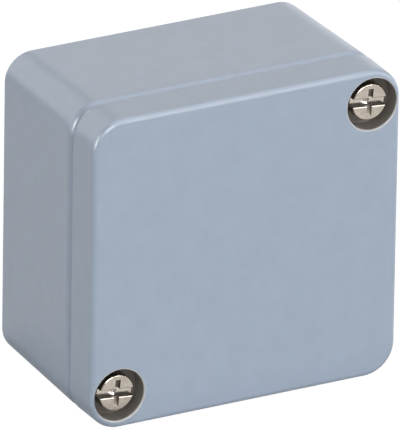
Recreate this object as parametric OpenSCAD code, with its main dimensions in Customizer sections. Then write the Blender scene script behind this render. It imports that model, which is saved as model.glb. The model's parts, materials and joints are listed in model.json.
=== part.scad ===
// Small die cast aluminium enclosure: a deep base and a shallow lid, held by two captive screws in
// opposite corners. The other two corners hold the wall fixing holes, which the lid covers.
// It stands on its lower side: X runs along its width, Z up, and the lid faces -Y.

/* [Outside] */
// Width at the seam
box_w = 62; // [54:0.5:90]
// Height at the seam
box_h = 60.4; // [54:0.2:90]
// Depth from the back face to the front of the lid
box_d = 36.6; // [34:0.2:60]
// Radius of the upright corners
corner_r = 6.1; // [4:0.1:8]
// Depth of the lid from its rim to its front
lid_d = 8.1; // [7.8:0.1:12]
// Width of the open line between base and lid
seam_gap = 0.35; // [0.1:0.05:0.6]
// Taper of the base's outer walls, in degrees
base_draft = 1.5; // [0:0.1:2]
// Taper of the lid's outer walls, in degrees
lid_draft = 0.5; // [0:0.1:2]

/* [Rounded edges] */
// Rounding of the lid's front edge
front_r = 1.2; // [0.4:0.1:2]
// Rounding of the lid's rim
lid_rim_r = 0.3; // [0.1:0.05:0.6]
// Rounding of the base's rim
base_rim_r = 1.9; // [0.2:0.1:2.2]
// Rounding of the base's back edge
back_r = 0.6; // [0.2:0.1:2]

/* [Walls] */
// Thickness of the base's side walls at the rim
wall = 3; // [2.6:0.1:4]
// Thickness of the base's floor
floor_t = 2.6; // [2:0.1:4]
// Thickness of the lid's face
face_t = 2.6; // [2:0.1:3]

/* [Corner posts] */
// Distance from the side walls to the post axes
post_in_x = 5.85; // [5.6:0.05:7]
// Distance from the top and bottom walls to the post axes
post_in_y = 6.6; // [5.6:0.05:7]
// Radius of the posts inside the cavity
post_r = 6.6; // [6.2:0.1:7.5]
// Radius of the raised pad on each post, where base and lid meet
pad_r = 4.6; // [4.2:0.1:4.8]

/* [Seal] */
// Width of the groove in the lid
groove_w = 1.6; // [1.4:0.1:1.7]
// Depth of the groove in the lid
groove_d = 2.6; // [1.8:0.1:3]
// Width of the tongue on the base
tongue_w = 1.2; // [0.8:0.1:1.3]
// Height of the gasket at the bottom of the groove
gasket_h = 1.2; // [0.8:0.1:1.4]

/* [Lid screws] */
// Thread diameter
screw_d = 4; // [3:0.5:4]
// Thread pitch
screw_pitch = 0.7; // [0.5:0.05:0.8]
// Length of the threaded end
thread_l = 5.5; // [4:0.5:5.5]
// Diameter of the thinned shank between head and thread
neck_d = 3; // [2:0.1:3.1]
// Diameter of the cheese head
head_d = 7; // [5.5:0.1:8]
// Height of the cheese head
head_h = 2.6; // [2:0.1:3]
// Depth of the head's top below the lid's face
head_sink = 1; // [0.2:0.1:1.2]
// Diameter of the recess around the head
recess_d = 10; // [8.5:0.1:10.4]
// Way that the screw travels before its retainer stops it
screw_travel = 6; // [5.6:0.1:8]
// Thickness of the retainer ring
ring_t = 1; // [0.6:0.1:1.5]
// Outer diameter of the retainer ring
ring_d = 5.8; // [5:0.1:6]
// Width of the driver slot
slot_w = 1.6; // [0.8:0.1:1.8]
// Depth of the driver slot
slot_depth = 1.2; // [0.6:0.1:1.6]
// Span of the cross recess's wings
cross_span = 5.2; // [3.5:0.1:6]
// Depth of the cross recess
cross_depth = 1.7; // [1:0.1:2.2]
// Turn of the driver slot away from level, in degrees
slot_turn = -5; // [-90:1:90]

/* [Wall fixing holes] */
// Diameter of the fixing holes
fixing_d = 4.8; // [3.5:0.1:5]
// Diameter of the pockets for the fixing screws' heads
fixing_head_d = 7.8; // [6:0.1:8]
// Thickness left under the fixing screws' heads
fixing_seat_t = 4; // [3:0.5:10]

/* [Board pillars] */
// Spacing of the pillars across the width
pillar_span_x = 34; // [20:1:34]
// Spacing of the pillars up the height
pillar_span_y = 30; // [16:1:30]
// Diameter of a pillar
pillar_d = 6; // [5:0.5:7]
// Height of a pillar above the floor
pillar_h = 5; // [4:0.5:7]
// Thread diameter in the pillars
pillar_screw_d = 3; // [2:0.5:3]

/* [Earth terminals] */
// Distance of the base terminal below the middle, and of the lid terminal above it
earth_y = 19; // [17:0.5:20]
// Diameter of the terminal's boss
earth_boss_d = 8; // [7:0.5:9]
// Height of the boss in the base
base_boss_h = 4; // [3:0.5:6]
// Height of the boss in the lid
lid_boss_h = 3; // [2.5:0.5:3.5]
// Thread diameter of the earth screws
earth_d = 4; // [3:0.5:4]
// Length of the earth screws below the head
earth_l = 5.5; // [4:0.5:5.5]
// Diameter of the earth screws' pan head
earth_head_d = 8; // [6:0.5:8]
// Height of the earth screws' pan head
earth_head_h = 2.4; // [2:0.1:3]
// Thickness of the toothed lock washer
lock_t = 0.5; // [0.4:0.1:1]
// Diameter of the cup washer that clamps the wire
cup_d = 8.4; // [7.5:0.1:9]
// Thickness of the cup washer
cup_t = 0.8; // [0.6:0.1:1]
// Width of the cup washer's turned-down edge
cup_lip_w = 0.6; // [0.4:0.1:0.7]
// Height of the cup washer's turned-down edge
cup_lip_h = 0.4; // [0.2:0.1:0.4]

/* [Hidden] */
$fn = 96;

// Clearances
thread_gap = 0.03;           // between a screw and the hole it is tapped into
screw_gap = 0.2;             // around the lid screws where they pass the lid
ring_gap = 0.2;              // around the retainer rings in their pockets
ring_bore_gap = 0.03;        // around the neck inside a retainer ring
washer_gap = 0.15;           // around the earth screws in their washers, and inside the cup's edge
driver_gap = 0.1;            // how far a cut runs past the face it opens
end_gap = 1.5 * screw_pitch; // room below the end of a screw in a blind hole
root = 1.5;                  // how deep a raised feature starts inside the wall that carries it

// Heights above the back face, before the box is stood up
seam_z = box_d - lid_d;
rim_z = seam_z - seam_gap;
head_seat_z = box_d - head_sink - head_h;
pocket_z = box_d - face_t;
groove_z = seam_z + groove_d;
tongue_z = groove_z - gasket_h;

// Inside faces of the walls, and the post axes
inner_x = box_w / 2 - wall;
inner_y = box_h / 2 - wall;
post_x = box_w / 2 - post_in_x;
post_y = box_h / 2 - post_in_y;

// The seal lies outside the cavity wall; each value is a distance outwards from that wall
tongue_in = 0.3;
groove_in = tongue_in - (groove_w - tongue_w) / 2;
lid_land_w = 1.2;

// Retainer: a pocket in the lid stops it, and a pocket in the base gives it room below
ring_stop_h = 1.2;
ring_top_z = seam_z + ring_stop_h - screw_travel;
ring_pocket_d = ring_d + 2 * ring_gap;
base_ring_pocket_z = ring_top_z - ring_t - ring_gap;
thread_top_z = base_ring_pocket_z;
thread_end_z = thread_top_z - thread_l;

// Earth terminals
earth_stack_t = lock_t + cup_t;
lock_d = cup_d - 2 * cup_lip_w - 2 * washer_gap;
base_boss_z = floor_t + base_boss_h;
lid_boss_z = pocket_z - lid_boss_h;
earth_hole_l = earth_l - earth_stack_t + end_gap / 2;

// Roundings are drawn with this many steps
arc_steps = 6;

// Corners: the screws are in two opposite ones, the wall fixing holes in the other two
upper_right = [post_x, post_y];
lower_left = [-post_x, -post_y];
upper_left = [-post_x, post_y];
lower_right = [post_x, -post_y];
ALL_CORNERS = [upper_right, lower_left, upper_left, lower_right];
SCREW_CORNERS = [upper_right, lower_left];
FIXING_CORNERS = [upper_left, lower_right];

// Stands the box up: heights above the back face become distances towards the front
module stood() {
    translate([0, box_d / 2, box_h / 2])
        rotate([90, 0, 0])
            children();
}

// Edge of the base in section, as [distance in from the rim's outline, height]
function base_inset(z) = (rim_z - z) * tan(base_draft);
function base_edge() = concat(
    [for (i = [0 : arc_steps])
        let (a = -90 + 90 * i / arc_steps)
        [base_inset(back_r) + back_r * (1 - cos(a)), back_r * (1 + sin(a))]],
    [for (i = [0 : arc_steps])
        let (a = 90 * i / arc_steps)
        [base_inset(rim_z - base_rim_r) + base_rim_r * (1 - cos(a)),
         rim_z - base_rim_r + base_rim_r * sin(a)]]
);

// Edge of the lid in section, in the same form
function lid_inset(z) = (z - seam_z) * tan(lid_draft);
function lid_edge() = concat(
    [for (i = [0 : arc_steps])
        let (a = -90 + 90 * i / arc_steps)
        [lid_inset(seam_z + lid_rim_r) + lid_rim_r * (1 - cos(a)),
         seam_z + lid_rim_r * (1 + sin(a))]],
    [for (i = [0 : arc_steps])
        let (a = 90 * i / arc_steps)
        [lid_inset(box_d - front_r) + front_r * (1 - cos(a)),
         box_d - front_r + front_r * sin(a)]]
);

// Section through two opposite walls that are each half_w from the middle
module wall_section(half_w, edge) {
    last = len(edge) - 1;
    polygon(concat(
        [for (p = edge) [half_w - p[0], p[1]]],
        [for (i = [last : -1 : 0]) [edge[i][0] - half_w, edge[i][1]]]
    ));
}

// Section through a rounded corner, on one side of the corner's axis
module corner_section(edge) {
    last = len(edge) - 1;
    polygon(concat(
        [[0, edge[0][1]]],
        [for (p = edge) [corner_r - p[0], p[1]]],
        [[0, edge[last][1]]]
    ));
}

// Solid block with round corners, whose four walls all follow one edge section
module rounded_block(edge) {
    flat_x = box_w / 2 - corner_r;
    flat_y = box_h / 2 - corner_r;
    translate([0, flat_y, 0])
        rotate([90, 0, 0])
            linear_extrude(2 * flat_y)
                wall_section(box_w / 2, edge);
    translate([-flat_x, 0, 0])
        rotate([90, 0, 90])
            linear_extrude(2 * flat_x)
                wall_section(box_h / 2, edge);
    for (i = [0 : 3])
        translate([(i == 0 || i == 3 ? 1 : -1) * flat_x, (i < 2 ? 1 : -1) * flat_y, 0])
            rotate([0, 0, 90 * i])
                rotate_extrude(angle = 90)
                    corner_section(edge);
}

// Outline of the cavity, grown outwards by out: straight walls that bend inwards round each post
module cavity_outline(out) {
    difference() {
        square([2 * (inner_x + out), 2 * (inner_y + out)], center = true);
        for (c = ALL_CORNERS) {
            translate(c)
                circle(post_r - out);
            translate([c[0] > 0 ? c[0] : c[0] - box_w, c[1] > 0 ? c[1] : c[1] - box_h])
                square([box_w, box_h]);
        }
    }
}

// Closed band that follows the cavity's outline between two distances outside it
module seal_band(from, to, bottom, top) {
    translate([0, 0, bottom])
        linear_extrude(top - bottom)
            difference() {
                cavity_outline(to);
                cavity_outline(from);
            }
}

// Bore along the depth, between two heights
module bore(place, d, bottom, top) {
    translate([place[0], place[1], bottom])
        cylinder(d = d, h = top - bottom);
}

// Pillar spacing, as the four places on the floor
function pillar_places() = [
    for (sx = [-1, 1], sy = [-1, 1]) [sx * pillar_span_x / 2, sy * pillar_span_y / 2]
];

module base() {
    tongue_out = tongue_in + tongue_w;
    color("lightslategray")
        stood()
            difference() {
                union() {
                    difference() {
                        rounded_block(base_edge());
                        translate([0, 0, floor_t])
                            linear_extrude(box_d)
                                cavity_outline(0);
                    }
                    seal_band(tongue_in, tongue_out, rim_z - root, tongue_z);
                    for (c = ALL_CORNERS)
                        bore(c, 2 * pad_r, rim_z - root, seam_z);
                    for (p = pillar_places())
                        bore(p, pillar_d, floor_t - root, floor_t + pillar_h);
                    bore([0, -earth_y], earth_boss_d, floor_t - root, base_boss_z);
                }
                for (c = SCREW_CORNERS) {
                    bore(c, ring_pocket_d, base_ring_pocket_z, box_d);
                    bore(c, screw_d + 2 * thread_gap, thread_end_z - end_gap, box_d);
                }
                for (c = FIXING_CORNERS) {
                    bore(c, fixing_d, -driver_gap, box_d);
                    bore(c, fixing_head_d, fixing_seat_t, box_d);
                }
                for (p = pillar_places())
                    bore(p, pillar_screw_d, floor_t, box_d);
                bore([0, -earth_y], earth_d + 2 * thread_gap, base_boss_z - earth_hole_l, box_d);
            }
}

module lid() {
    color("lightslategray")
        stood()
            difference() {
                union() {
                    difference() {
                        rounded_block(lid_edge());
                        translate([0, 0, seam_z - box_d])
                            linear_extrude(box_d + pocket_z - seam_z)
                                cavity_outline(groove_in - lid_land_w);
                        seal_band(groove_in, groove_in + groove_w, seam_z - box_d, groove_z);
                    }
                    bore([0, earth_y], earth_boss_d, lid_boss_z, pocket_z + root);
                }
                for (c = SCREW_CORNERS) {
                    bore(c, recess_d, head_seat_z, box_d + driver_gap);
                    bore(c, screw_d + 2 * screw_gap, seam_z - driver_gap, box_d);
                    bore(c, ring_pocket_d, seam_z - driver_gap, seam_z + ring_stop_h);
                }
                bore([0, earth_y], earth_d + 2 * thread_gap, seam_z, lid_boss_z + earth_hole_l);
            }
}

module lid_gasket() {
    color("dimgray")
        stood()
            seal_band(groove_in, groove_in + groove_w, tongue_z, groove_z);
}

// Cross recess: two tapered wings round a cone, cut downwards from the top of a head
module cross_recess(span, depth) {
    wing_w = 0.21 * span;
    wing_end = 0.42 * span;
    cone_d = 0.56 * span;
    cone_end_d = 0.2 * span;
    for (a = [0, 90])
        rotate([90, 0, a])
            translate([0, 0, -wing_w / 2])
                linear_extrude(wing_w)
                    polygon([
                        [-span / 2, driver_gap], [span / 2, driver_gap], [span / 2, 0],
                        [wing_end / 2, -depth], [-wing_end / 2, -depth], [-span / 2, 0]
                    ]);
    translate([0, 0, -depth])
        cylinder(d1 = cone_end_d, d2 = cone_d, h = depth);
}

// Captive cheese head screw, with its head's seat at height zero and its shank below it
module lid_screw() {
    head_edge = 0.3;
    tip = 0.5;
    thread_z = thread_top_z - head_seat_z;
    end_z = thread_end_z - head_seat_z;
    difference() {
        rotate_extrude()
            polygon([
                [0, head_h], [head_d / 2 - head_edge, head_h], [head_d / 2, head_h - head_edge],
                [head_d / 2, 0], [neck_d / 2, 0],
                [neck_d / 2, thread_z], [screw_d / 2, thread_z],
                [screw_d / 2, end_z + tip], [screw_d / 2 - tip, end_z], [0, end_z]
            ]);
        rotate([0, 0, slot_turn])
            translate([0, 0, head_h]) {
                translate([-head_d, -slot_w / 2, -slot_depth])
                    cube([2 * head_d, slot_w, slot_depth + driver_gap]);
                cross_recess(cross_span, cross_depth);
            }
    }
}

module lid_screw_at(corner) {
    color("gainsboro")
        stood()
            translate([corner[0], corner[1], head_seat_z])
                lid_screw();
}

module lid_screw_upper_right() {
    lid_screw_at(upper_right);
}

module lid_screw_lower_left() {
    lid_screw_at(lower_left);
}

// Ring that keeps a lid screw in the lid: it sits round the neck, on the end of the thread
module screw_retainer_at(corner) {
    color("ivory")
        stood()
            difference() {
                bore(corner, ring_d, ring_top_z - ring_t, ring_top_z);
                bore(corner, neck_d + 2 * ring_bore_gap, 0, box_d);
            }
}

module screw_retainer_upper_right() {
    screw_retainer_at(upper_right);
}

module screw_retainer_lower_left() {
    screw_retainer_at(lower_left);
}

// Places a piece of an earth terminal: its boss ends at height zero, and the screw comes from above
module at_base_earth() {
    stood()
        translate([0, -earth_y, base_boss_z])
            children();
}

module at_lid_earth() {
    stood()
        translate([0, earth_y, lid_boss_z])
            rotate([180, 0, 0])
                children();
}

// Pan head screw of an earth terminal
module earth_screw() {
    head_round = 0.8;
    cross_l = 4.4;
    cross_h = 1.6;
    tip = 0.4;
    end_z = earth_stack_t - earth_l;
    top_z = earth_stack_t + earth_head_h;
    difference() {
        rotate_extrude()
            polygon(concat(
                [[0, top_z]],
                [for (i = [arc_steps : -1 : 0])
                    let (a = 90 * i / arc_steps)
                    [earth_head_d / 2 - head_round + head_round * cos(a),
                     top_z - head_round + head_round * sin(a)]],
                [[earth_head_d / 2, earth_stack_t], [earth_d / 2, earth_stack_t],
                 [earth_d / 2, end_z + tip], [earth_d / 2 - tip, end_z], [0, end_z]]
            ));
        translate([0, 0, top_z])
            cross_recess(cross_l, cross_h);
    }
}

// Cup washer: a disc whose turned-down edge keeps the wire under it
module cup_washer() {
    difference() {
        translate([0, 0, lock_t - cup_lip_h])
            cylinder(d = cup_d, h = cup_t + cup_lip_h);
        translate([0, 0, lock_t - box_d])
            cylinder(d = cup_d - 2 * cup_lip_w, h = box_d);
        cylinder(d = earth_d + 2 * washer_gap, h = box_d);
    }
}

// Toothed lock washer, with its teeth on the outside
module lock_washer() {
    teeth = 10;
    tooth_gap_w = 0.7;
    tooth_l = 0.9;
    difference() {
        cylinder(d = lock_d, h = lock_t);
        translate([0, 0, -driver_gap])
            cylinder(d = earth_d + 2 * washer_gap, h = box_d);
        for (i = [0 : teeth - 1])
            rotate([0, 0, 360 * i / teeth])
                translate([lock_d / 2 - tooth_l, -tooth_gap_w / 2, -driver_gap])
                    cube([lock_d, tooth_gap_w, box_d]);
    }
}

module base_earth_screw() {
    color("silver")
        at_base_earth()
            earth_screw();
}

module base_earth_cup_washer() {
    color("gold")
        at_base_earth()
            cup_washer();
}

module base_earth_lock_washer() {
    color("silver")
        at_base_earth()
            lock_washer();
}

module lid_earth_screw() {
    color("silver")
        at_lid_earth()
            earth_screw();
}

module lid_earth_cup_washer() {
    color("gold")
        at_lid_earth()
            cup_washer();
}

module lid_earth_lock_washer() {
    color("silver")
        at_lid_earth()
            lock_washer();
}

base();
lid();
lid_gasket();
lid_screw_upper_right();
lid_screw_lower_left();
screw_retainer_upper_right();
screw_retainer_lower_left();
base_earth_screw();
base_earth_cup_washer();
base_earth_lock_washer();
lid_earth_screw();
lid_earth_cup_washer();
lid_earth_lock_washer();
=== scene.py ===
"""Looks of the small die cast aluminium box: powder coated base and lid, captive lid screws, gasket."""

import json
import math

import bmesh
import bpy
from mathutils import Matrix, Vector

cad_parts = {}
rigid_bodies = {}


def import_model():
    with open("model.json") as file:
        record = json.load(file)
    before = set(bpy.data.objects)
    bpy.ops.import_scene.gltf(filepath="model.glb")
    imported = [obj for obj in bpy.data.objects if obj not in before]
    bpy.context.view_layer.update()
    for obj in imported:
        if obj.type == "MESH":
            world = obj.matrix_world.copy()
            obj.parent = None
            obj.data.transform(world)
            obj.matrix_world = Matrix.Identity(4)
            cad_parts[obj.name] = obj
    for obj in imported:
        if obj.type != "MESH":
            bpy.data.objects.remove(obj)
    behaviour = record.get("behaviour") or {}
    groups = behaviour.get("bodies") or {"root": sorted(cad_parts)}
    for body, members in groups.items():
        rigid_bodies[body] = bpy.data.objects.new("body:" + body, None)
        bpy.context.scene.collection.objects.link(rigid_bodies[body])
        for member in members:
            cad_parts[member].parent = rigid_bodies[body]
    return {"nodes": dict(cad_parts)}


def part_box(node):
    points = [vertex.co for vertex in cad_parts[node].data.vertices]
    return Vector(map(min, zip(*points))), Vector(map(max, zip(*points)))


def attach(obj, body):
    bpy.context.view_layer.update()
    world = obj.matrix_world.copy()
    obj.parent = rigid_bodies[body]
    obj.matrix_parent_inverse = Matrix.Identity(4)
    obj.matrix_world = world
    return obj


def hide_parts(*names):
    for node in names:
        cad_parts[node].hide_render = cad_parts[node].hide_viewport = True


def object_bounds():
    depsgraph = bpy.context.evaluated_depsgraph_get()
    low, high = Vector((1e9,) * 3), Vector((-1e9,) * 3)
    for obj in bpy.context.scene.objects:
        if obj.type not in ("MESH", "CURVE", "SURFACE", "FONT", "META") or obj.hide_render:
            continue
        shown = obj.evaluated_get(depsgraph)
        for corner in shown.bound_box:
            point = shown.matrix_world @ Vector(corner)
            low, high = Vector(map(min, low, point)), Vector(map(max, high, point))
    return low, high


for leftover in list(bpy.data.objects):
    bpy.data.objects.remove(leftover)

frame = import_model()
cad_low, cad_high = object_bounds()

# ---------------------------------------------------------------- sizes, in metres

MM = 0.001

# The block: its box, the seam, the draft of the sides and the rounded edges.
HALF_W = (cad_high.x - cad_low.x) / 2
HALF_H = (cad_high.z - cad_low.z) / 2
MID_Z = (cad_high.z + cad_low.z) / 2
FRONT_Y = cad_low.y
BACK_Y = cad_high.y
SEAM_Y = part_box("lid")[1].y
SEAM_GAP = 0.35 * MM
RIM_Y = SEAM_Y + SEAM_GAP
CORNER_R = 6.1 * MM
BASE_DRAFT = math.tan(math.radians(1.5))
LID_DRAFT = math.tan(math.radians(0.5))
FRONT_R = 1.2 * MM
LID_RIM_R = 0.3 * MM
BASE_RIM_R = 1.9 * MM
BACK_R = 0.6 * MM

# The cavity, with the four corner posts that it leaves standing.
WALL = 3.0 * MM
INNER_X = HALF_W - WALL
INNER_Z = HALF_H - WALL
FLOOR_Y = BACK_Y - 2.6 * MM
LID_FACE_Y = FRONT_Y + 2.6 * MM
BASE_FILLET = 1.5 * MM
LID_FILLET = 1.0 * MM
POST_X = HALF_W - 5.85 * MM
POST_Z = HALF_H - 6.6 * MM
POST_R = 6.6 * MM
POST_BLEND = 1.0 * MM
LEAST_BLEND = 0.3 * MM

# The seal between lid and base, as distances outwards from the cavity's wall.
TONGUE_IN, TONGUE_OUT = 0.3 * MM, 1.5 * MM
TONGUE_EDGE = 0.3 * MM
GROOVE_IN, GROOVE_OUT = 0.1 * MM, 1.7 * MM
GROOVE_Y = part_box("lid_gasket")[0].y
TONGUE_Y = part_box("lid_gasket")[1].y
LID_LAND = 1.2 * MM
GASKET_EDGE_W, GASKET_EDGE_H = 0.25 * MM, 0.15 * MM

# Bosses, pads and holes.
BOSS_EDGE = 0.3 * MM
PAD_R, PAD_EDGE = 4.6 * MM, 0.1 * MM
PILLAR_R, PILLAR_H, PILLAR_BORE_R = 3 * MM, 5 * MM, 1.5 * MM
EARTH_BOSS_R = 4 * MM
BASE_BOSS_H, BASE_EARTH_PAST_FLOOR = 4 * MM, 0.8 * MM
LID_BOSS_H, LID_EARTH_PAST_FACE = 3 * MM, 1.6 * MM
THREAD_HOLE_R = 2.03 * MM
CLEARANCE_R = 2.2 * MM
RECESS_R, RECESS_MOUTH = 5.0 * MM, 0.25 * MM
FIXING_R, FIXING_MOUTH = 2.4 * MM, 0.3 * MM
HEAD_POCKET_R, HEAD_POCKET_FLOOR = 3.9 * MM, 4 * MM
POCKET_MOUTH = 0.2 * MM

# The captive lid screws and the pockets of their retainer rings.
HEAD_TOP_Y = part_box("lid_screw_upper_right")[0].y
HEAD_H = 2.6 * MM
HEAD_R, HEAD_EDGE = 3.5 * MM, 0.36 * MM
SEAT_Y = HEAD_TOP_Y + HEAD_H
SCREW_END_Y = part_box("lid_screw_upper_right")[1].y
NECK_R = 1.5 * MM
SCREW_R = 2.0 * MM
THREAD_L = 5.5 * MM
THREAD_TOP_Y = SCREW_END_Y - THREAD_L
PITCH = 0.7 * MM
THREAD_DEPTH = 0.42 * MM
THREAD_RUN_OUT = 0.5 * MM
GROOVE_HALF = 0.4375  # half the width of the thread's groove, as a share of the pitch
SLOT_TURN = -math.radians(5)
SLOT_W, SLOT_DEPTH = 1.6 * MM, 1.2 * MM
SLOT_WORN = 0.1 * MM
CROSS_SPAN, CROSS_DEPTH = 5.2 * MM, 1.7 * MM
WING_W = 0.2 * CROSS_SPAN
WING_PROFILE = [(0.5, 0), (0.44, 0.2), (0.2, 0.5)]  # (reach over CROSS_SPAN, depth over CROSS_DEPTH)
PIT_PROFILE = [(0.1, -0.2), (0.25, -0.005), (0.25, 0), (0.01, 0.085)]  # (radius, depth) over CROSS_SPAN
PIT_CORNERS = (0.4, 0.6, 0.95, 0.6)  # how far each corner of the worn pit reaches
RING_POCKET_R = 3.1 * MM
RING_STOP = 1.22 * MM  # 0.02 mm more than in the solids, so that the ring ends its travel clear of it

# Places across the front, as (x, z).
SCREW_PLACES = {"upper_right": (POST_X, MID_Z + POST_Z), "lower_left": (-POST_X, MID_Z - POST_Z)}
FIXING_PLACES = [(-POST_X, MID_Z + POST_Z), (POST_X, MID_Z - POST_Z)]
PILLAR_PLACES = [(sx * 17 * MM, MID_Z + sz * 15 * MM) for sx in (-1, 1) for sz in (-1, 1)]
BASE_EARTH = (0.0, MID_Z - 19 * MM)
LID_EARTH = (0.0, MID_Z + 19 * MM)

# Building: how far cutters pass a face, how deep joined bodies root in a wall, steps of the curves.
PAST = 2 * MM
SLOT_PAST = 1 * MM
ROOT = 1.5 * MM
LID_BOSS_ROOT = 1 * MM
CORNER_STEPS = 20
ROUND_STEPS = 8
LID_RIM_STEPS, FRONT_STEPS, BASE_RIM_STEPS, BACK_STEPS = 4, 12, 10, 6
TURN_STEPS = 96
POST_STEPS = 18
BLEND_STEPS = 5
HEAD_EDGE_STEPS = 6
STEPS_PER_PITCH = 8

# Angles in degrees; edges that turn by more stay sharp.
CAST_SHARP, SCREW_SHARP, GASKET_SHARP = 32, 28, 50


# ---------------------------------------------------------------- materials

COAT = (158, 171, 188)  # sRGB
TURNING_SCALE = 2600

# Sockets of a Mix node set to colours.
MIX_FACTOR, MIX_A, MIX_B, MIX_RESULT = 0, 6, 7, 2


def srgb(r, g, b):
    """Linear colour of an sRGB colour given in 0 to 255."""
    def linear(v):
        v /= 255
        return v / 12.92 if v <= 0.04045 else ((v + 0.055) / 1.055) ** 2.4
    return (linear(r), linear(g), linear(b), 1.0)


def grey(level):
    """Colour that carries one plain value, for a ramp that drives a roughness."""
    return (level, level, level, 1)


class Tree:
    """A node tree, with short ways to add nodes and link them."""

    def __init__(self, owner, cleared=False):
        owner.use_nodes = True
        self.tree = owner.node_tree
        if cleared:
            self.tree.nodes.clear()

    def add(self, kind, **values):
        """New node; each value is a property of it or, with _ for a space, one of its sockets."""
        node = self.tree.nodes.new(kind)
        for key, value in values.items():
            if hasattr(node, key):
                setattr(node, key, value)
            else:
                node.inputs[key.replace("_", " ")].default_value = value
        return node

    def link(self, output, node, socket):
        self.tree.links.new(output, node.inputs[socket])

    def maths(self, operation, *values):
        """Output of a maths node; each value is a number or another node's output."""
        node = self.add("ShaderNodeMath", operation=operation)
        for socket, value in enumerate(values):
            if isinstance(value, float):
                node.inputs[socket].default_value = value
            else:
                self.link(value, node, socket)
        return node.outputs[0]

    def split(self, vector):
        """Node with the X, Y and Z outputs of a vector."""
        parts = self.add("ShaderNodeSeparateXYZ")
        self.link(vector, parts, "Vector")
        return parts

    def span(self, value, low, high, **more):
        """Output that runs from 0 at low to 1 at high."""
        node = self.add("ShaderNodeMapRange", From_Min=low, From_Max=high, **more)
        self.link(value, node, "Value")
        return node.outputs["Result"]


class Material(Tree):
    """A new material around its Principled shader."""

    def __init__(self, name):
        self.material = bpy.data.materials.new(name)
        super().__init__(self.material)
        self.shader = self.tree.nodes["Principled BSDF"]
        self.place = self.add("ShaderNodeTexCoord").outputs["Object"]

    def noise(self, scale, detail=2.0, roughness=0.5):
        node = self.add("ShaderNodeTexNoise", Scale=scale, Detail=detail, Roughness=roughness)
        self.link(self.place, node, "Vector")
        return node.outputs["Fac"]

    def ramp(self, fac, *stops):
        node = self.add("ShaderNodeValToRGB")
        self.link(fac, node, "Fac")
        while len(node.color_ramp.elements) < len(stops):
            node.color_ramp.elements.new(0.5)
        for element, (at, colour) in zip(node.color_ramp.elements, stops):
            element.position = at
            element.color = colour
        return node.outputs["Color"]

    def bump(self, height, strength, distance, under=None):
        node = self.add("ShaderNodeBump", Strength=strength, Distance=distance)
        self.link(height, node, "Height")
        if under is not None:
            self.link(under, node, "Normal")
        return node.outputs["Normal"]

    def finish(self, colour, roughness=None, normal=None, **values):
        """Links what varies to the shader and sets the uniform values on its sockets."""
        for key, value in values.items():
            self.shader.inputs[key.replace("_", " ")].default_value = value
        self.link(colour, self.shader, "Base Color")
        if roughness is not None:
            self.link(roughness, self.shader, "Roughness")
        if normal is not None:
            self.link(normal, self.shader, "Normal")
        return self.material


def powder_coat():
    """Grey-blue powder coat: faint cloudy mottling and the fine orange peel of a baked coat."""
    def shade(factor):
        return srgb(*(c * factor for c in COAT))

    m = Material("powder_coat")
    mottling = m.noise(scale=260, detail=5, roughness=0.75)
    colour = m.ramp(mottling, (0.3, shade(0.98)), (0.7, shade(1.018)))
    gloss = m.ramp(m.noise(scale=900, detail=3), (0.3, grey(0.28)), (0.7, grey(0.34)))
    peel = m.noise(scale=1000, detail=2, roughness=0.4)
    peel = m.bump(peel, strength=0.55, distance=0.02 * MM)
    grain = m.noise(scale=5200, detail=2, roughness=0.5)
    grain = m.bump(grain, strength=0.10, distance=0.008 * MM, under=peel)
    return m.finish(colour, gloss, grain)


def recess_painted_shade():
    """Screw recess: light grey round the mouth, darkening further down to a brown-grey that is painted
    shade.
    """
    m = Material("recess_painted_shade")
    depth = m.split(m.place).outputs["Y"]
    # darker with depth into the recess: painted shade
    down = m.span(depth, FRONT_Y + RECESS_MOUTH, FRONT_Y + 2 * RECESS_MOUTH)
    colour = m.ramp(down, (0.0, srgb(192, 193, 192)), (1.0, srgb(122, 116, 110)))
    grain = m.noise(scale=2600, detail=3, roughness=0.6)
    return m.finish(colour, None, m.bump(grain, strength=0.2, distance=0.02 * MM), Roughness=0.5)


def cast_metal():
    """Bare die cast aluminium inside the box: dull, with the flow marks of the casting."""
    m = Material("cast_metal")
    flow = m.noise(scale=220, detail=5, roughness=0.65)
    colour = m.ramp(flow, (0.25, srgb(150, 152, 153)), (0.75, srgb(184, 186, 188)))
    dull = m.ramp(m.noise(scale=700, detail=4), (0.2, grey(0.38)), (0.8, grey(0.62)))
    grain = m.noise(scale=1800, detail=4, roughness=0.6)
    return m.finish(colour, dull, m.bump(grain, strength=0.3, distance=0.03 * MM), Metallic=0.85)


def plated_metal(name, light, dark, roughness, axis=None, walls=None, grain=1.0, metallic=1.0):
    """Plated metal with faint clouds in the plating.

    axis: (x, z) of the axis round which turning left its rings.
    walls: colour of the faces that stand along the depth, such as the walls of a slot, given as painted
    shade.
    grain: strength of the grain and the rings.
    """
    m = Material(name)
    colour = m.ramp(m.noise(scale=900, detail=3), (0.3, dark), (0.7, light))
    rough = m.ramp(m.noise(scale=1500, detail=3), (0.3, grey(roughness * 0.85)),
                   (0.7, grey(roughness * 1.25)))
    normal = m.bump(m.noise(scale=4200), strength=0.12 * grain, distance=0.01 * MM)
    if axis is not None:
        centred = m.add("ShaderNodeMapping", Location=(-axis[0], 0, -axis[1]))
        m.link(m.place, centred, "Vector")
        rings = m.add("ShaderNodeTexWave", wave_type="RINGS", rings_direction="Y",
                      Scale=TURNING_SCALE, Distortion=0.6, Detail=2.0)
        m.link(centred.outputs["Vector"], rings, "Vector")
        normal = m.bump(rings.outputs["Fac"], 0.25 * grain, 0.006 * MM, normal)
    # faces that stand along the depth take the walls colour: painted shade
    if walls is not None:
        facing = m.split(m.add("ShaderNodeNewGeometry").outputs["Normal"])
        flat = m.span(m.maths("ABSOLUTE", facing.outputs["Y"]), 0.15, 0.45)
        blend = m.add("ShaderNodeMix", data_type="RGBA")
        m.link(flat, blend, MIX_FACTOR)
        blend.inputs[MIX_A].default_value = walls
        m.link(colour, blend, MIX_B)
        colour = blend.outputs[MIX_RESULT]
    return m.finish(colour, rough, normal, Metallic=metallic)


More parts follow.
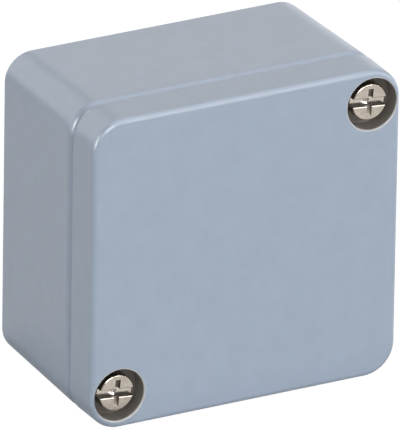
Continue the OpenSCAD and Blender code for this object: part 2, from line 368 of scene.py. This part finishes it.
def gasket_rubber():
    """Foamed silicone of the gasket: matt and finely pored."""
    m = Material("gasket_rubber")
    pores = m.noise(scale=1500, detail=4, roughness=0.7)
    colour = m.ramp(pores, (0.3, srgb(38, 38, 40)), (0.7, srgb(54, 54, 56)))
    skin = m.noise(scale=3600, detail=4, roughness=0.7)
    return m.finish(colour, None, m.bump(skin, strength=0.5, distance=0.05 * MM), Roughness=0.85)


def retainer_nylon():
    """Natural nylon of the retainer rings."""
    m = Material("retainer_nylon")
    clouds = m.noise(scale=800, detail=3)
    colour = m.ramp(clouds, (0.3, srgb(222, 216, 203)), (0.7, srgb(232, 227, 216)))
    normal = m.bump(m.noise(scale=2600, detail=3), strength=0.2, distance=0.02 * MM)
    return m.finish(colour, None, normal, Roughness=0.5, Subsurface_Weight=0.15)


# ---------------------------------------------------------------- mesh building

def mesh_object(name, points, faces):
    mesh = bpy.data.meshes.new(name)
    mesh.from_pydata([tuple(p) for p in points], [], faces)
    mesh.validate()
    piece = bpy.data.objects.new(name, mesh)
    bpy.context.scene.collection.objects.link(piece)
    return piece


def outward(piece):
    """Turns the faces of a closed mesh outwards."""
    work = bmesh.new()
    work.from_mesh(piece.data)
    bmesh.ops.recalc_face_normals(work, faces=work.faces)
    if work.calc_volume(signed=True) < 0:
        bmesh.ops.reverse_faces(work, faces=work.faces)
    work.to_mesh(piece.data)
    work.free()
    return piece


def loft(name, rings, closed=False):
    """Skin over rings of equally many points; the ends are capped, or joined if closed."""
    count = len(rings[0])
    points = [p for ring in rings for p in ring]
    faces = []
    last = len(rings) if closed else len(rings) - 1
    for k in range(last):
        a, b = k * count, (k + 1) % len(rings) * count
        for i in range(count):
            j = (i + 1) % count
            faces.append((a + i, a + j, b + j, b + i))
    if not closed:
        faces.append(tuple(reversed(range(count))))
        faces.append(tuple((len(rings) - 1) * count + i for i in range(count)))
    return outward(mesh_object(name, points, faces))


def block_ring(inset, y):
    """Outline of the box, a rounded rectangle across the depth, moved in by inset."""
    ring = []
    for quarter in range(4):
        sx = 1 if quarter in (0, 3) else -1
        sz = 1 if quarter < 2 else -1
        x = sx * (HALF_W - CORNER_R)
        z = MID_Z + sz * (HALF_H - CORNER_R)
        for step in range(CORNER_STEPS + 1):
            a = math.radians(90 * (quarter + step / CORNER_STEPS))
            r = CORNER_R - inset
            ring.append(Vector((x + r * math.cos(a), y, z + r * math.sin(a))))
    return ring


def cavity_corner(out):
    """Upper right corner of the cavity's outline, moved outwards by out: round the post's outside.

    Where the wall meets the post, a short curve blends one into the other.
    """
    radius = POST_R - out
    side_x, top_z = INNER_X + out, INNER_Z + out
    drop = math.sqrt(max(0, radius ** 2 - (side_x - POST_X) ** 2))
    back = math.sqrt(max(0, radius ** 2 - (top_z - POST_Z) ** 2))
    start = math.atan2(-drop, side_x - POST_X)
    end = math.atan2(top_z - POST_Z, -back) - 2 * math.pi
    blend = min(POST_BLEND, max(back / 2, LEAST_BLEND))
    turn = blend / radius

    def on_arc(angle):
        return Vector((POST_X + radius * math.cos(angle), POST_Z + radius * math.sin(angle)))

    def curve(a, b, c):
        shares = [i / BLEND_STEPS for i in range(BLEND_STEPS)]
        return [a * (1 - t) ** 2 + b * 2 * t * (1 - t) + c * t ** 2 for t in shares]

    wall_point, top_point = Vector((side_x, POST_Z - drop)), Vector((POST_X - back, top_z))
    points = curve(wall_point - Vector((0, blend)), wall_point, on_arc(start - turn))
    for step in range(POST_STEPS + 1):
        points.append(on_arc(start - turn + (end - start + 2 * turn) * step / POST_STEPS))
    points += curve(top_point - Vector((blend, 0)), top_point, on_arc(end + turn))[::-1]
    return points


def cavity_ring(out, y):
    """Outline of the cavity, moved outwards by out."""
    corner = cavity_corner(out)
    ring = []
    for sx, sz in ((1, 1), (-1, 1), (-1, -1), (1, -1)):
        points = corner if sx == sz else corner[::-1]
        ring += [Vector((sx * p.x, y, MID_Z + sz * p.y)) for p in points]
    return ring


def quarter_round(side, y, radius, way, count=ROUND_STEPS):
    """(distance, y) steps from the flat at y to the side, round an edge; way leads into the solid."""
    steps = []
    for step in range(count + 1):
        a = math.radians(90 * step / count)
        steps.append((side + radius * (1 - math.sin(a)), y + way * radius * (1 - math.cos(a))))
    return steps


def soft_edge(side, top_y, edge, way, inwards=1):
    """(distance, y) steps from the side to the top at top_y, over an edge softened by two facets."""
    return [(side, top_y - way * edge), (side - inwards * edge * 0.3, top_y - way * edge * 0.3),
            (side - inwards * edge, top_y)]


def seal_band(name, inner, outer, low_y, high_y, edge=0.0):
    """Closed band that follows the seal between two distances outside the cavity's wall."""
    way = math.copysign(1, high_y - low_y)
    profile = [(inner, low_y), (outer, low_y)]
    if edge:
        profile += soft_edge(outer, high_y, edge, way)
        profile += reversed(soft_edge(inner, high_y, edge, way, -1))
    else:
        profile += [(outer, high_y), (inner, high_y)]
    return loft(name, [cavity_ring(o, y) for o, y in profile], closed=True)


def lathe(name, profile, place, steps=TURN_STEPS, radius_at=None):
    """Solid turned about an axis along the depth; profile holds (radius, y) steps."""
    rings = []
    for r, y in profile:
        ring = []
        for step in range(steps):
            a = 2 * math.pi * step / steps
            here = radius_at(r, y, a) if radius_at else r
            ring.append(Vector((place[0] + here * math.cos(a), y, place[1] + here * math.sin(a))))
        rings.append(ring)
    return loft(name, rings)


def prism(name, outline, across, place, turn):
    """Prism with an outline of (x, y) points, across wide, turned by turn about the screw's axis."""
    rings = []
    for z in (-across / 2, across / 2):
        rings.append([Vector((place[0] + x * math.cos(turn) - z * math.sin(turn), y,
                              place[1] + x * math.sin(turn) + z * math.cos(turn)))
                      for x, y in outline])
    return loft(name, rings)


def paint(piece, material):
    piece.data.materials.clear()
    piece.data.materials.append(material)
    return piece


def drill(name, place, radius, start_y, end_y, material, mouth=0.0):
    """Cutter for a hole from its mouth at start_y to end_y, with the mouth's edge rounded."""
    way = 1 if end_y > start_y else -1
    profile = [(radius + mouth, start_y - way * PAST)]
    profile += quarter_round(radius, start_y, mouth, way) if mouth else [(radius, start_y)]
    profile.append((radius, end_y))
    return paint(lathe(name, profile, place), material)


def boss(name, place, radius, root_y, top_y, material, edge=BOSS_EDGE):
    """Round boss with a softened top edge."""
    way = 1 if top_y > root_y else -1
    profile = [(radius, root_y)] + soft_edge(radius, top_y, edge, way)
    return paint(lathe(name, profile, place), material)


def apply_modifiers(piece):
    graph = bpy.context.evaluated_depsgraph_get()
    mesh = bpy.data.meshes.new_from_object(piece.evaluated_get(graph), depsgraph=graph)
    old = piece.data
    piece.modifiers.clear()
    piece.data = mesh
    mesh.name = piece.name
    bpy.data.meshes.remove(old)


def combine(piece, others, operation):
    """Cuts others from piece or joins them to it; the new faces keep the materials of others."""
    for other in others:
        modifier = piece.modifiers.new("combine", "BOOLEAN")
        modifier.solver = "EXACT"
        modifier.material_mode = "TRANSFER"
        modifier.operation = operation
        modifier.object = other
        apply_modifiers(piece)
        bpy.data.objects.remove(other)


def smooth(piece, angle):
    """Smooth shading that keeps flats flat and edges sharper than angle sharp."""
    piece.data.polygons.foreach_set("use_smooth", [True] * len(piece.data.polygons))
    piece.data.set_sharp_from_angle(angle=math.radians(angle))
    modifier = piece.modifiers.new("flat_faces", "WEIGHTED_NORMAL")
    modifier.keep_sharp = True
    modifier.weight = 100
    apply_modifiers(piece)
    return piece


def place_piece(piece, body, slot, *nodes):
    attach(piece, body)
    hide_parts(*nodes)


# ---------------------------------------------------------------- the pieces

coat = powder_coat()
recess = recess_painted_shade()
bare = cast_metal()
rubber = gasket_rubber()
nylon = retainer_nylon()


def lid_piece():
    """Lid: shallow casting with a softened front edge, a seal groove and two screw recesses."""
    front_inset = (SEAM_Y - FRONT_Y - FRONT_R) * LID_DRAFT
    profile = quarter_round(0, SEAM_Y, LID_RIM_R, -1, LID_RIM_STEPS)
    profile += reversed(quarter_round(front_inset, FRONT_Y, FRONT_R, 1, FRONT_STEPS))
    lid = paint(loft("lid_shell", [block_ring(i, y) for i, y in profile]), coat)

    hollow_out = GROOVE_IN - LID_LAND
    steps = [(hollow_out, SEAM_Y + PAST), (hollow_out, LID_FACE_Y + LID_FILLET)]
    steps += [(hollow_out - i, y)
              for i, y in reversed(quarter_round(0, LID_FACE_Y, LID_FILLET, 1))][1:]
    hollow = paint(loft("hollow", [cavity_ring(o, y) for o, y in steps]), bare)
    groove = paint(seal_band("groove", GROOVE_IN, GROOVE_OUT, SEAM_Y + PAST, GROOVE_Y), bare)
    combine(lid, [hollow, groove], "DIFFERENCE")

    boss_top_y = LID_FACE_Y + LID_BOSS_H
    combine(lid, [boss("earth_boss", LID_EARTH, EARTH_BOSS_R, LID_FACE_Y - LID_BOSS_ROOT, boss_top_y,
                       bare)], "UNION")
    cutters = [drill("earth_hole", LID_EARTH, THREAD_HOLE_R, boss_top_y,
                     LID_FACE_Y - LID_EARTH_PAST_FACE, bare)]
    for place in SCREW_PLACES.values():
        cutters.append(drill("recess", place, RECESS_R, FRONT_Y, SEAT_Y, recess, RECESS_MOUTH))
        cutters.append(drill("clearance", place, CLEARANCE_R, SEAT_Y, SEAM_Y + PAST, bare))
        cutters.append(drill("ring_stop", place, RING_POCKET_R, SEAM_Y, SEAM_Y - RING_STOP, bare))
    combine(lid, cutters, "DIFFERENCE")
    return smooth(lid, CAST_SHARP)


def base_piece():
    """Base: deep casting with corner posts, floor pillars and the tongue that presses the gasket."""
    def inset_at(y):
        return (y - RIM_Y) * BASE_DRAFT

    profile = quarter_round(inset_at(BACK_Y - BACK_R), BACK_Y, BACK_R, -1, BACK_STEPS)
    profile += reversed(quarter_round(inset_at(RIM_Y + BASE_RIM_R), RIM_Y, BASE_RIM_R, 1,
                                      BASE_RIM_STEPS))
    base = paint(loft("base_shell", [block_ring(i, y) for i, y in profile]), coat)

    steps = [(0, RIM_Y - PAST), (0, FLOOR_Y - BASE_FILLET)]
    steps += [(-i, y) for i, y in reversed(quarter_round(0, FLOOR_Y, BASE_FILLET, -1))][1:]
    combine(base, [paint(loft("cavity", [cavity_ring(o, y) for o, y in steps]), bare)], "DIFFERENCE")

    tongue = seal_band("tongue", TONGUE_IN, TONGUE_OUT, RIM_Y + ROOT, TONGUE_Y, TONGUE_EDGE)
    joined = [paint(tongue, coat)]
    for place in list(SCREW_PLACES.values()) + FIXING_PLACES:
        joined.append(boss("pad", place, PAD_R, RIM_Y + ROOT, SEAM_Y, bare, PAD_EDGE))
    pillar_top_y, boss_top_y = FLOOR_Y - PILLAR_H, FLOOR_Y - BASE_BOSS_H
    for place in PILLAR_PLACES:
        joined.append(boss("pillar", place, PILLAR_R, FLOOR_Y + ROOT, pillar_top_y, bare))
    joined.append(boss("earth_boss", BASE_EARTH, EARTH_BOSS_R, FLOOR_Y + ROOT, boss_top_y, bare))
    combine(base, joined, "UNION")

    cutters = [drill("earth_hole", BASE_EARTH, THREAD_HOLE_R, boss_top_y,
                     FLOOR_Y + BASE_EARTH_PAST_FLOOR, bare)]
    for place in SCREW_PLACES.values():
        cutters.append(drill("ring_pocket", place, RING_POCKET_R, SEAM_Y, THREAD_TOP_Y, bare,
                             POCKET_MOUTH))
        cutters.append(drill("thread_hole", place, THREAD_HOLE_R, SEAM_Y, SCREW_END_Y + MM, bare))
    for place in FIXING_PLACES:
        cutters.append(drill("head_pocket", place, HEAD_POCKET_R, SEAM_Y,
                             BACK_Y - HEAD_POCKET_FLOOR, bare, POCKET_MOUTH))
        cutters.append(drill("fixing_hole", place, FIXING_R, BACK_Y, SEAM_Y - PAST, bare,
                             FIXING_MOUTH))
    for place in PILLAR_PLACES:
        cutters.append(drill("pillar_hole", place, PILLAR_BORE_R, pillar_top_y, FLOOR_Y, bare))
    combine(base, cutters, "DIFFERENCE")
    return smooth(base, CAST_SHARP)


def screw_blank(name, place):
    """Screw without its driver slot: head with a rounded edge, neck and rolled thread."""
    profile = []
    for step in range(HEAD_EDGE_STEPS + 1):
        a = math.radians(90 * step / HEAD_EDGE_STEPS)
        profile.append((HEAD_R - HEAD_EDGE + HEAD_EDGE * math.sin(a),
                        HEAD_TOP_Y + HEAD_EDGE * (1 - math.cos(a))))
    profile += [(HEAD_R, SEAT_Y), (NECK_R, SEAT_Y), (NECK_R, THREAD_TOP_Y)]
    steps = int(THREAD_L / PITCH * STEPS_PER_PITCH)
    for step in range(steps + 1):
        profile.append((SCREW_R, THREAD_TOP_Y + (SCREW_END_Y - THREAD_TOP_Y) * step / steps))

    def threaded(r, y, angle):
        """Radius under the thread's groove, and under its run-outs at both ends."""
        if y <= THREAD_TOP_Y or r < SCREW_R:
            return r
        turn = (y / PITCH - angle / (2 * math.pi)) % 1
        groove = max(0.0, 1 - abs(turn - 0.5) / GROOVE_HALF)
        end = max(0.0, 1 - (SCREW_END_Y - y) / THREAD_RUN_OUT) * THREAD_RUN_OUT
        start = max(0.0, 1 - (y - THREAD_TOP_Y) / THREAD_RUN_OUT) * THREAD_DEPTH
        return min(r - THREAD_DEPTH * groove, r - end, r - start)

    return lathe(name, profile, place, radius_at=threaded)


def screw_cuts(place):
    """Cutters of the slot with its worn edges, of the shallow wings and of the pit where they meet."""
    top, open_y, turn = HEAD_TOP_Y, HEAD_TOP_Y - SLOT_PAST, SLOT_TURN + math.pi / 2
    half, wide, slot_floor = SLOT_W / 2, SLOT_W / 2 + SLOT_WORN, HEAD_TOP_Y + SLOT_DEPTH
    slot = [(-wide, open_y), (wide, open_y), (wide, top), (half, top + SLOT_WORN),
            (half, slot_floor), (-half, slot_floor), (-half, top + SLOT_WORN), (-wide, top)]
    slot = prism("driver_slot", slot, 2 * (HEAD_R + SLOT_PAST), place, turn)

    right = [(reach * CROSS_SPAN, top + depth * CROSS_DEPTH) for reach, depth in WING_PROFILE]
    left = [(-x, y) for x, y in reversed(right)]
    wings = [(-CROSS_SPAN / 2, open_y), (CROSS_SPAN / 2, open_y)] + right + left
    wings = prism("wing", wings, WING_W, place, turn)

    def lopsided(r, _, angle):
        return r * PIT_CORNERS[round(angle / (2 * math.pi) * len(PIT_CORNERS))]

    pit = [(r * CROSS_SPAN, slot_floor + depth * CROSS_SPAN) for r, depth in PIT_PROFILE]
    return slot, wings, lathe("pit", pit, place, len(PIT_CORNERS), lopsided)


def lid_screw_piece(name, place):
    """Captive cheese head screw with a driver slot and a cross recess, and a rolled thread."""
    # The head's side and the thread are coloured darker than the head's top: painted shade.
    metal = plated_metal(f"screw_metal_{name}", srgb(194, 185, 174), srgb(176, 167, 156), 0.24,
                         axis=place, walls=srgb(128, 118, 107))
    screw = paint(screw_blank(name, place), metal)
    slot, wings, pit = screw_cuts(place)
    # The slot's walls are coloured near black: painted shade.
    slot_metal = plated_metal(f"slot_metal_{name}", srgb(206, 197, 186), srgb(190, 181, 170), 0.2,
                              # The slot's floor is coloured a little lighter than the head's top:
                              # painted highlight.
                              axis=place, walls=srgb(34, 29, 24), grain=0.4)
    # The cross's wings are coloured a dark brown-grey, darker still on their walls: painted shade.
    cross_metal = plated_metal(f"cross_metal_{name}", srgb(132, 124, 114), srgb(116, 108, 99), 0.4,
                               axis=place, walls=srgb(92, 84, 76), grain=0.4, metallic=0.5)
    # The pit is coloured a near-white metal, lighter than the head: painted highlight.
    pit_metal = plated_metal(f"pit_metal_{name}", srgb(232, 226, 218), srgb(220, 213, 204), 0.16,
                             axis=place, grain=0.2)
    cuts = [paint(slot, slot_metal), paint(wings, cross_metal), paint(pit, pit_metal)]
    combine(screw, cuts, "DIFFERENCE")
    return smooth(screw, SCREW_SHARP)


def gasket_piece():
    """Gasket bead: fills the groove, with its edges bevelled beside the flat the tongue presses."""
    profile = [(GROOVE_IN, GROOVE_Y), (GROOVE_OUT, GROOVE_Y), (GROOVE_OUT, TONGUE_Y - GASKET_EDGE_H),
               (GROOVE_OUT - GASKET_EDGE_W, TONGUE_Y), (GROOVE_IN + GASKET_EDGE_W, TONGUE_Y),
               (GROOVE_IN, TONGUE_Y - GASKET_EDGE_H)]
    gasket = loft("gasket_bead", [cavity_ring(o, y) for o, y in profile], closed=True)
    return smooth(paint(gasket, rubber), GASKET_SHARP)


place_piece(base_piece(), "base", "powder_coat", "base")
place_piece(lid_piece(), "lid", "powder_coat", "lid")
place_piece(gasket_piece(), "lid", "gasket_rubber", "lid_gasket")
for corner, spot in SCREW_PLACES.items():
    captive = lid_screw_piece(f"captive_screw_{corner}", spot)
    place_piece(captive, f"screw_{corner}", "screw_metal", f"lid_screw_{corner}")

zinc = plated_metal("earth_steel", srgb(205, 207, 210), srgb(186, 188, 192), 0.28)
brass = plated_metal("washer_brass", srgb(214, 186, 120), srgb(196, 166, 100), 0.3)
for node, material in (
    ("screw_retainer_upper_right", nylon), ("screw_retainer_lower_left", nylon),
    ("base_earth_screw", zinc), ("base_earth_cup_washer", brass), ("base_earth_lock_washer", zinc),
    ("lid_earth_screw", zinc), ("lid_earth_cup_washer", brass), ("lid_earth_lock_washer", zinc),
):
    paint(frame["nodes"][node], material)


# ---------------------------------------------------------------- floor, light and camera

FLOOR_HALF = 6.0
FLOOR_ALBEDO = 0.45
FLOOR_GLOW = 1.16  # strength of the light the floor gives off itself
FLOOR_GLOW_SHARE = 0.85  # share of that light in what the floor shows, away from the box
PAINTED_SHADOW_SHARE = 0.2  # the same share beside the box, in shiny surfaces: a painted shadow round the box
PAINTED_SHADOW_NEAR, PAINTED_SHADOW_FAR = 3 * MM, 10 * MM


def floor():
    """Plain pale floor, white to the eye apart from the box's soft shadow; in shiny surfaces its glow is
    turned down beside the box, a painted shadow.
    """
    size, level = FLOOR_HALF, cad_low.z
    corners = [(-size, -size, level), (size, -size, level), (size, size, level), (-size, size, level)]
    piece = mesh_object("floor", corners, [(0, 1, 2, 3)])
    material = bpy.data.materials.new("floor_white")
    t = Tree(material, cleared=True)
    diffuse = t.add("ShaderNodeBsdfDiffuse", Color=(FLOOR_ALBEDO, FLOOR_ALBEDO, FLOOR_ALBEDO, 1))
    glow = t.add("ShaderNodeEmission", Strength=FLOOR_GLOW)
    path = t.add("ShaderNodeLightPath")
    parts = t.split(t.add("ShaderNodeNewGeometry").outputs["Position"])
    beside = t.maths("SUBTRACT", t.maths("ABSOLUTE", parts.outputs["X"]), HALF_W)
    before = t.maths("SUBTRACT", t.maths("ABSOLUTE", parts.outputs["Y"]), BACK_Y)
    # in shiny surfaces the floor's glow fades out beside the box: a painted shadow
    lit = t.span(t.maths("MAXIMUM", beside, before), PAINTED_SHADOW_NEAR, PAINTED_SHADOW_FAR,
                 To_Min=PAINTED_SHADOW_SHARE, To_Max=FLOOR_GLOW_SHARE)
    share = t.maths("MAXIMUM", t.maths("MULTIPLY", path.outputs["Is Camera Ray"], FLOOR_GLOW_SHARE),
                    t.maths("MULTIPLY", path.outputs["Is Glossy Ray"], lit))
    mix = t.add("ShaderNodeMixShader")
    t.link(share, mix, "Fac")
    t.link(diffuse.outputs[0], mix, 1)
    t.link(glow.outputs[0], mix, 2)
    t.link(mix.outputs[0], t.add("ShaderNodeOutputMaterial"), "Surface")
    paint(piece, material)


EVEN_GLOW = (0.06, 0.06, 0.06, 1)
ROOM_GLOW = (0.33, 0.33, 0.34, 1)
BACKDROP_GLOW = (1.55, 1.55, 1.56, 1)
WHITE = (1, 1, 1, 1)
BACKDROP_START, BACKDROP_FULL = 0.1, 0.6  # how far backwards a direction points, from 0 to 1


def world():
    """Soft surroundings: even on matt faces, a brighter backdrop in shiny ones, white to the eye."""
    place = bpy.data.worlds.new("studio")
    t = Tree(place, cleared=True)
    parts = t.split(t.add("ShaderNodeTexCoord").outputs["Generated"])
    behind = t.span(parts.outputs["Y"], BACKDROP_START, BACKDROP_FULL, interpolation_type="SMOOTHSTEP")
    backdrop = t.add("ShaderNodeMix", data_type="RGBA")
    backdrop.inputs[MIX_A].default_value = ROOM_GLOW
    backdrop.inputs[MIX_B].default_value = BACKDROP_GLOW
    t.link(behind, backdrop, MIX_FACTOR)
    even = t.add("ShaderNodeBackground", Color=EVEN_GLOW)
    shiny = t.add("ShaderNodeBackground")
    white = t.add("ShaderNodeBackground", Color=WHITE)
    t.link(backdrop.outputs[MIX_RESULT], shiny, "Color")
    path = t.add("ShaderNodeLightPath")
    unseen, seen = t.add("ShaderNodeMixShader"), t.add("ShaderNodeMixShader")
    for mix, kind, otherwise, then in ((unseen, "Is Glossy Ray", even, shiny),
                                       (seen, "Is Camera Ray", unseen, white)):
        t.link(path.outputs[kind], mix, "Fac")
        t.link(otherwise.outputs[0], mix, 1)
        t.link(then.outputs[0], mix, 2)
    t.link(seen.outputs[0], t.add("ShaderNodeOutputWorld"), "Surface")
    bpy.context.scene.world = place


CENTRE = Vector((0, (FRONT_Y + BACK_Y) / 2, MID_Z))
LAMP_DISTANCE = 1.4
LAMP_POWER = 4  # power of an area lamp for each square metre and unit of radiance
LAMPS = [
    # name, kind of rays it lights, direction from the box, width and height in degrees as seen from
    # the box, radiance
    ("key", "diffuse", (0.45, -0.76, 0.44), (34, 28), 4.0),
    ("key_shine", "glossy", (0.43, -0.68, 0.58), (26, 20), 5.2),
    ("front", "diffuse", (-0.45, -0.9, 0.33), (60, 60), 1.52),
    ("behind", "diffuse", (0.25, 0.96, 0.09), (60, 10), 6.0),
    ("right_side", "diffuse", (0.98, 0.12, 0.09), (60, 10), 3.8),
    ("right", "glossy", (0.96, -0.24, 0.14), (40, 40), 1.6),
    ("right_shine", "glossy", (0.83, -0.44, 0.34), (14, 20), 7.0),
    ("above", "glossy", (0.30, -0.05, 0.95), (60, 60), 2.2),
    ("above_left", "glossy", (-0.20, -0.77, 0.60), (28, 22), 13.0),
    ("left", "glossy", (-0.93, 0.30, 0.22), (48, 46), 1.2),
    ("side_shine", "glossy", (-0.93, -0.21, 0.27), (13, 32), 21.0),
    ("behind_left", "glossy", (-0.38, 0.80, 0.42), (50, 44), 0.95),
    ("upper_left", "diffuse", (-0.80, 0.30, 0.52), (50, 50), 0.78),
]


def lamps():
    """Soft boxes round the object, each as wide and high as it looks from the object."""
    for name, rays, direction, angles, radiance in LAMPS:
        lamp = bpy.data.lights.new(name, "AREA")
        lamp.shape = "RECTANGLE"
        lamp.size, lamp.size_y = (2 * LAMP_DISTANCE * math.tan(math.radians(a / 2)) for a in angles)
        lamp.energy = radiance * LAMP_POWER * lamp.size * lamp.size_y
        piece = bpy.data.objects.new(name, lamp)
        bpy.context.scene.collection.objects.link(piece)
        way = Vector(direction).normalized()
        piece.location = CENTRE + way * LAMP_DISTANCE
        piece.rotation_mode = "QUATERNION"
        piece.rotation_quaternion = (-way).to_track_quat("-Z", "Y")
        piece.visible_diffuse = rays == "diffuse"
        piece.visible_glossy = rays == "glossy"


CAMERA_AZIMUTH, CAMERA_ELEVATION, CAMERA_ROLL = -28.04, 24.15, 0.918  # degrees
CAMERA_DISTANCE = 2.8335
CAMERA_RIGHT, CAMERA_UP = 0.2507 * MM, -0.3222 * MM  # its shift off the box's centre
LENS_MM, SENSOR_MM = 1326.3, 36
CLIP_START, CLIP_END = 0.1, 20


def camera():
    """Long lens, from the left front and above, with a slight roll."""
    azimuth, elevation, roll = (math.radians(a) for a in (CAMERA_AZIMUTH, CAMERA_ELEVATION, CAMERA_ROLL))
    back = Vector((math.sin(azimuth) * math.cos(elevation), -math.cos(azimuth) * math.cos(elevation),
                   math.sin(elevation)))
    level_right = (-back).cross(Vector((0, 0, 1))).normalized()
    level_up = level_right.cross(-back)
    right = level_right * math.cos(roll) + level_up * math.sin(roll)
    up = -level_right * math.sin(roll) + level_up * math.cos(roll)
    data = bpy.data.cameras.new("camera")
    data.sensor_width = SENSOR_MM
    data.lens = LENS_MM
    data.clip_start, data.clip_end = CLIP_START, CLIP_END
    piece = bpy.data.objects.new("camera", data)
    bpy.context.scene.collection.objects.link(piece)
    piece.matrix_world = Matrix((right, up, back)).transposed().to_4x4()
    piece.location = CENTRE + back * CAMERA_DISTANCE + right * CAMERA_RIGHT + up * CAMERA_UP
    bpy.context.scene.camera = piece


floor()
world()
lamps()
camera()
bpy.context.scene.view_settings.view_transform = "Standard"
